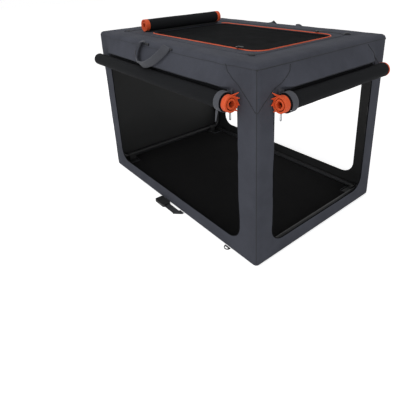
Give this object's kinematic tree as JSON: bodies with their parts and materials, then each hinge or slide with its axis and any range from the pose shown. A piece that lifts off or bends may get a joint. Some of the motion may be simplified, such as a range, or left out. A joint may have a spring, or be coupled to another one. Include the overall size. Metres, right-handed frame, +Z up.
{
  "type": "soft folding dog crate",
  "caption": "Soft-sided dog crate with a folding steel tube frame, rolled-up doors, a roof hatch, a floor mat and carry handles.",
  "frame": {"origin": "centre of the footprint, on the ground under the floor cloth", "axes": "+X along the length towards the open end, +Y from the near long side to the far one, +Z up"},
  "size_m": [0.9658, 0.7136, 0.6575],
  "materials": {
    "canvas": "woven polyester canvas, matt",
    "rolled_cloth": "black mesh and canvas, matt",
    "net": "fine black net",
    "mat": "short fleece, matt",
    "orange_binding": "orange woven binding",
    "webbing": "woven webbing",
    "wire": "black painted wire",
    "tube": "dark powder coat",
    "plastic": "moulded, matt"
  },
  "bodies": {
    "base": {"floor_cloth": "canvas", "floor_mat": "mat", "floor_rail_near": "tube", "floor_rail_far": "tube", "floor_bracket_near_open": "plastic", "floor_bracket_far_open": "plastic", "floor_bracket_near_closed": "plastic", "floor_bracket_far_closed": "plastic", "corner_sleeve_near_open": "canvas", "corner_sleeve_far_open": "canvas", "corner_sleeve_near_closed": "canvas", "corner_sleeve_far_closed": "canvas", "closed_end_panel": "canvas", "strap_root": "webbing"},
    "lower_end_closed": {"lower_end_frame_closed": "tube", "knee_fork_near_closed": "plastic", "knee_fork_far_closed": "plastic"},
    "upper_end_closed": {"upper_end_frame_closed": "tube", "knee_tongue_near_closed": "plastic", "knee_tongue_far_closed": "plastic"},
    "lower_end_open": {"lower_end_frame_open": "tube", "knee_fork_near_open": "plastic", "knee_fork_far_open": "plastic"},
    "upper_end_open": {"upper_end_frame_open": "tube", "knee_tongue_near_open": "plastic", "knee_tongue_far_open": "plastic"},
    "roof": {"roof_cloth": "canvas", "hatch_mesh": "net", "roof_rail_near": "tube", "roof_rail_far": "tube", "roof_bracket_near_open": "plastic", "roof_bracket_far_open": "plastic", "roof_bracket_near_closed": "plastic", "roof_bracket_far_closed": "plastic", "hatch_zip": "orange_binding", "hatch_slider_near": "plastic", "hatch_slider_far": "plastic", "hatch_roll": "rolled_cloth", "hatch_roll_binding_near": "orange_binding", "hatch_roll_binding_far": "orange_binding", "near_door_roll": "rolled_cloth", "near_door_roll_binding": "orange_binding", "near_door_tie": "webbing", "far_door_roll": "rolled_cloth", "far_door_roll_binding": "orange_binding", "far_door_tie": "webbing", "end_door_roll": "rolled_cloth", "end_door_roll_binding": "orange_binding", "end_door_tie": "webbing"},
    "hatch_tab_near": {"hatch_tab_near": "plastic"},
    "hatch_tab_far": {"hatch_tab_far": "plastic"},
    "near_pull": {"near_door_pull": "wire"},
    "far_pull": {"far_door_pull": "wire"},
    "end_pull": {"end_door_pull": "wire"},
    "handle_near": {"carry_handle_near": "webbing"},
    "handle_far": {"carry_handle_far": "webbing"},
    "strap": {"storage_strap": "webbing", "storage_buckle": "plastic"},
    "tie_down": {"tie_down_loop": "plastic"}
  },
  "joints": [
    {"name": "fold", "type": "hinge", "parent": "lower_end_closed", "child": "upper_end_closed", "pos_m": [-0.443, 0, 0.305], "axis": [0, -1, 0], "range_deg": [0, 156], "deforming": ["corner_sleeve_near_open", "corner_sleeve_far_open", "corner_sleeve_near_closed", "corner_sleeve_far_closed", "closed_end_panel"]},
    {"name": "lean_closed", "type": "hinge", "parent": "base", "child": "lower_end_closed", "pos_m": [-0.435, 0, 0.0347], "axis": [0, 1, 0], "range_deg": [0, 78]},
    {"name": "roof_closed", "type": "hinge", "parent": "upper_end_closed", "child": "roof", "pos_m": [-0.435, 0, 0.5753], "axis": [0, 1, 0], "range_deg": [0, 78]},
    {"name": "lean_open", "type": "hinge", "parent": "base", "child": "lower_end_open", "pos_m": [0.435, 0, 0.0347], "axis": [0, -1, 0], "range_deg": [0, 78]},
    {"name": "knee_open", "type": "hinge", "parent": "lower_end_open", "child": "upper_end_open", "pos_m": [0.443, 0, 0.305], "axis": [0, 1, 0], "range_deg": [0, 156]},
    {"name": "handle_near_swing", "type": "hinge", "parent": "roof", "child": "handle_near", "pos_m": [0, -0.3068, 0.598], "axis": [-1, 0, 0], "range_deg": [0, 150]},
    {"name": "handle_far_swing", "type": "hinge", "parent": "roof", "child": "handle_far", "pos_m": [0, 0.3068, 0.598], "axis": [1, 0, 0], "range_deg": [0, 150]},
    {"name": "hatch_tab_near_flip", "type": "hinge", "parent": "roof", "child": "hatch_tab_near", "pos_m": [0.262, -0.188, 0.6183], "axis": [0, -1, 0], "range_deg": [0, 160]},
    {"name": "hatch_tab_far_flip", "type": "hinge", "parent": "roof", "child": "hatch_tab_far", "pos_m": [0.262, 0.188, 0.6183], "axis": [0, -1, 0], "range_deg": [0, 160]},
    {"name": "near_pull_swing", "type": "hinge", "parent": "roof", "child": "near_pull", "pos_m": [0.385, -0.3303, 0.48078], "axis": [-1, 0, 0], "range_deg": [-40, 60]},
    {"name": "far_pull_swing", "type": "hinge", "parent": "roof", "child": "far_pull", "pos_m": [0.385, 0.3303, 0.48078], "axis": [1, 0, 0], "range_deg": [-40, 60]},
    {"name": "end_pull_swing", "type": "hinge", "parent": "roof", "child": "end_pull", "pos_m": [0.4823, -0.243, 0.48078], "axis": [0, -1, 0], "range_deg": [-40, 60]},
    {"name": "strap_unfold", "type": "hinge", "parent": "base", "child": "strap", "pos_m": [0.083, -0.3105, 0.00215], "axis": [0.7071, 0.7071, 0], "range_deg": [0, 150]},
    {"name": "tie_down_flip", "type": "hinge", "parent": "base", "child": "tie_down", "pos_m": [0.329, -0.3057, 0.0015], "axis": [-1, 0, 0], "range_deg": [0, 70]}
  ],
  "couplings": [
    {"joint": "lean_closed", "follows": "fold", "ratio": 0.5},
    {"joint": "roof_closed", "follows": "fold", "ratio": 0.5},
    {"joint": "lean_open", "follows": "fold", "ratio": 0.5},
    {"joint": "knee_open", "follows": "fold", "ratio": 1}
  ]
}
